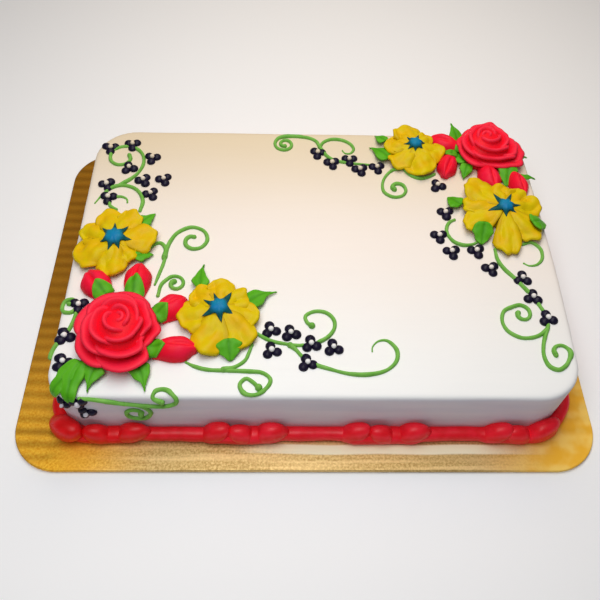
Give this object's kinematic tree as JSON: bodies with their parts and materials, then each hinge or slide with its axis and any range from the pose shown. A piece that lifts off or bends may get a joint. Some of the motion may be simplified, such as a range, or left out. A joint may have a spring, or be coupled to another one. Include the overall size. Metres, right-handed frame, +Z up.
{
  "type": "sheet cake",
  "caption": "Quarter sheet cake in smooth white icing on a gold foil board, piped with red roses and buds, yellow flowers, green leaves and vines, dark berry dots and a red shell border.",
  "frame": {"origin": "middle of the board's underside", "axes": "+X along the long side, towards the right seen from the front; the front faces -Y; +Z up"},
  "size_m": [0.381, 0.2794, 0.0758],
  "materials": {
    "gold_foil": "gold foil over card",
    "white_icing": "soft satin",
    "red_icing": "soft satin",
    "rose_icing": "soft satin",
    "yellow_icing": "soft satin",
    "blue_icing": "soft satin",
    "leaf_icing": "soft satin"
  },
  "bodies": {
    "root": {"board": "gold_foil", "cake": "white_icing", "border": "red_icing", "rose_front": "rose_icing", "rose_back": "rose_icing", "flower_left": "yellow_icing", "flower_middle": "yellow_icing", "flower_back": "yellow_icing", "flower_right": "yellow_icing", "flower_left_star": "blue_icing", "flower_middle_star": "blue_icing", "flower_back_star": "blue_icing", "flower_right_star": "blue_icing", "bud_front_1": "rose_icing", "bud_front_2": "rose_icing", "bud_front_3": "rose_icing", "bud_front_4": "rose_icing", "bud_back_1": "rose_icing", "bud_back_2": "rose_icing", "bud_back_3": "rose_icing", "bud_back_4": "rose_icing", "bud_front_1_calyx": "leaf_icing", "bud_front_2_calyx": "leaf_icing", "bud_front_3_calyx": "leaf_icing", "bud_front_4_calyx": "leaf_icing", "bud_back_1_calyx": "leaf_icing", "bud_back_2_calyx": "leaf_icing", "bud_back_4_calyx": "leaf_icing", "leaf_left_1": "leaf_icing", "leaf_left_2": "leaf_icing", "leaf_middle_1": "leaf_icing", "leaf_middle_2": "leaf_icing", "leaf_middle_3": "leaf_icing", "leaf_corner": "leaf_icing", "leaf_rose_1": "leaf_icing", "leaf_rose_2": "leaf_icing", "leaf_right_1": "leaf_icing", "leaf_right_2": "leaf_icing", "leaf_right_3": "leaf_icing", "leaf_back_1": "leaf_icing", "leaf_back_2": "leaf_icing", "leaf_back_3": "leaf_icing", "leaf_back_4": "leaf_icing", "leaf_back_5": "leaf_icing", "leaf_back_6": "leaf_icing"}
  },
  "joints": []
}
